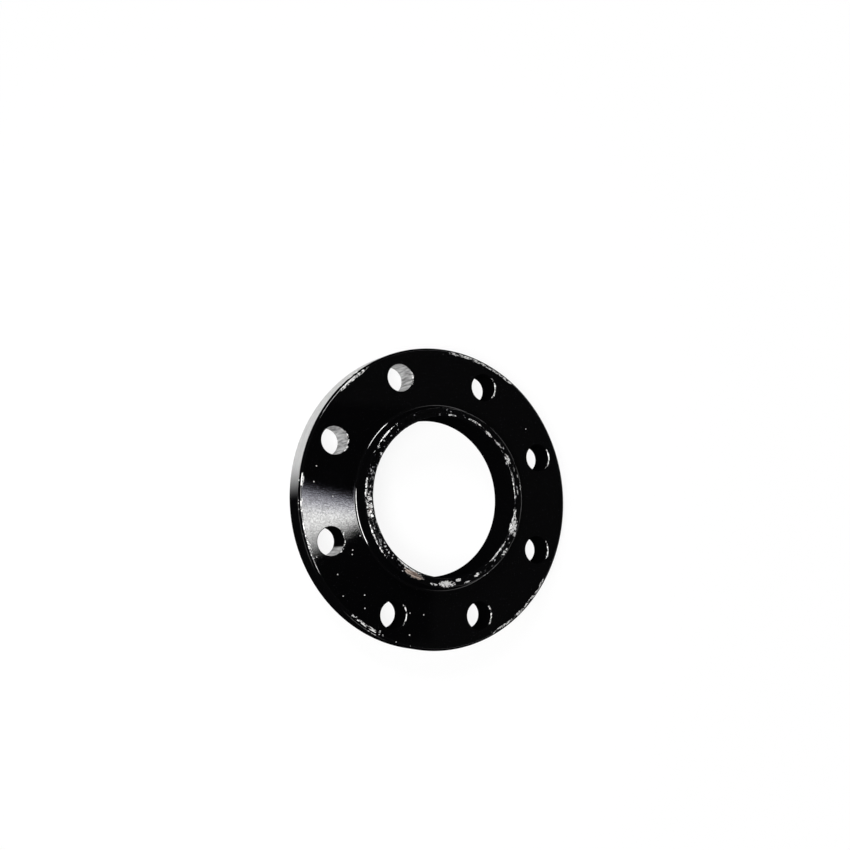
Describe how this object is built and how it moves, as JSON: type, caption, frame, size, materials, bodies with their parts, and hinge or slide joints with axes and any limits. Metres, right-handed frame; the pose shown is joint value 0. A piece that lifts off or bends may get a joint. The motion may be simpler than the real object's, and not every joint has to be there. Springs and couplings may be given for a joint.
{
  "type": "pipe flange",
  "caption": "Round hubbed slip-on pipe flange: a thick plate with a plain bore, a low hub and a circle of bolt holes, in glossy black paint worn to steel at the bore mouth.",
  "frame": {"origin": "centre of the bore, on the flat gasket face that the flange lies on", "axes": "+Z along the bore axis, from the gasket face towards the hub's end; the bolt holes straddle the X and Y axes"},
  "size_m": [0.21, 0.21, 0.027],
  "materials": {
    "black_paint": "glossy black enamel on forged steel, worn to bare and rusty steel round the bore mouth"
  },
  "bodies": {
    "root": {"flange": "black_paint"}
  },
  "joints": []
}
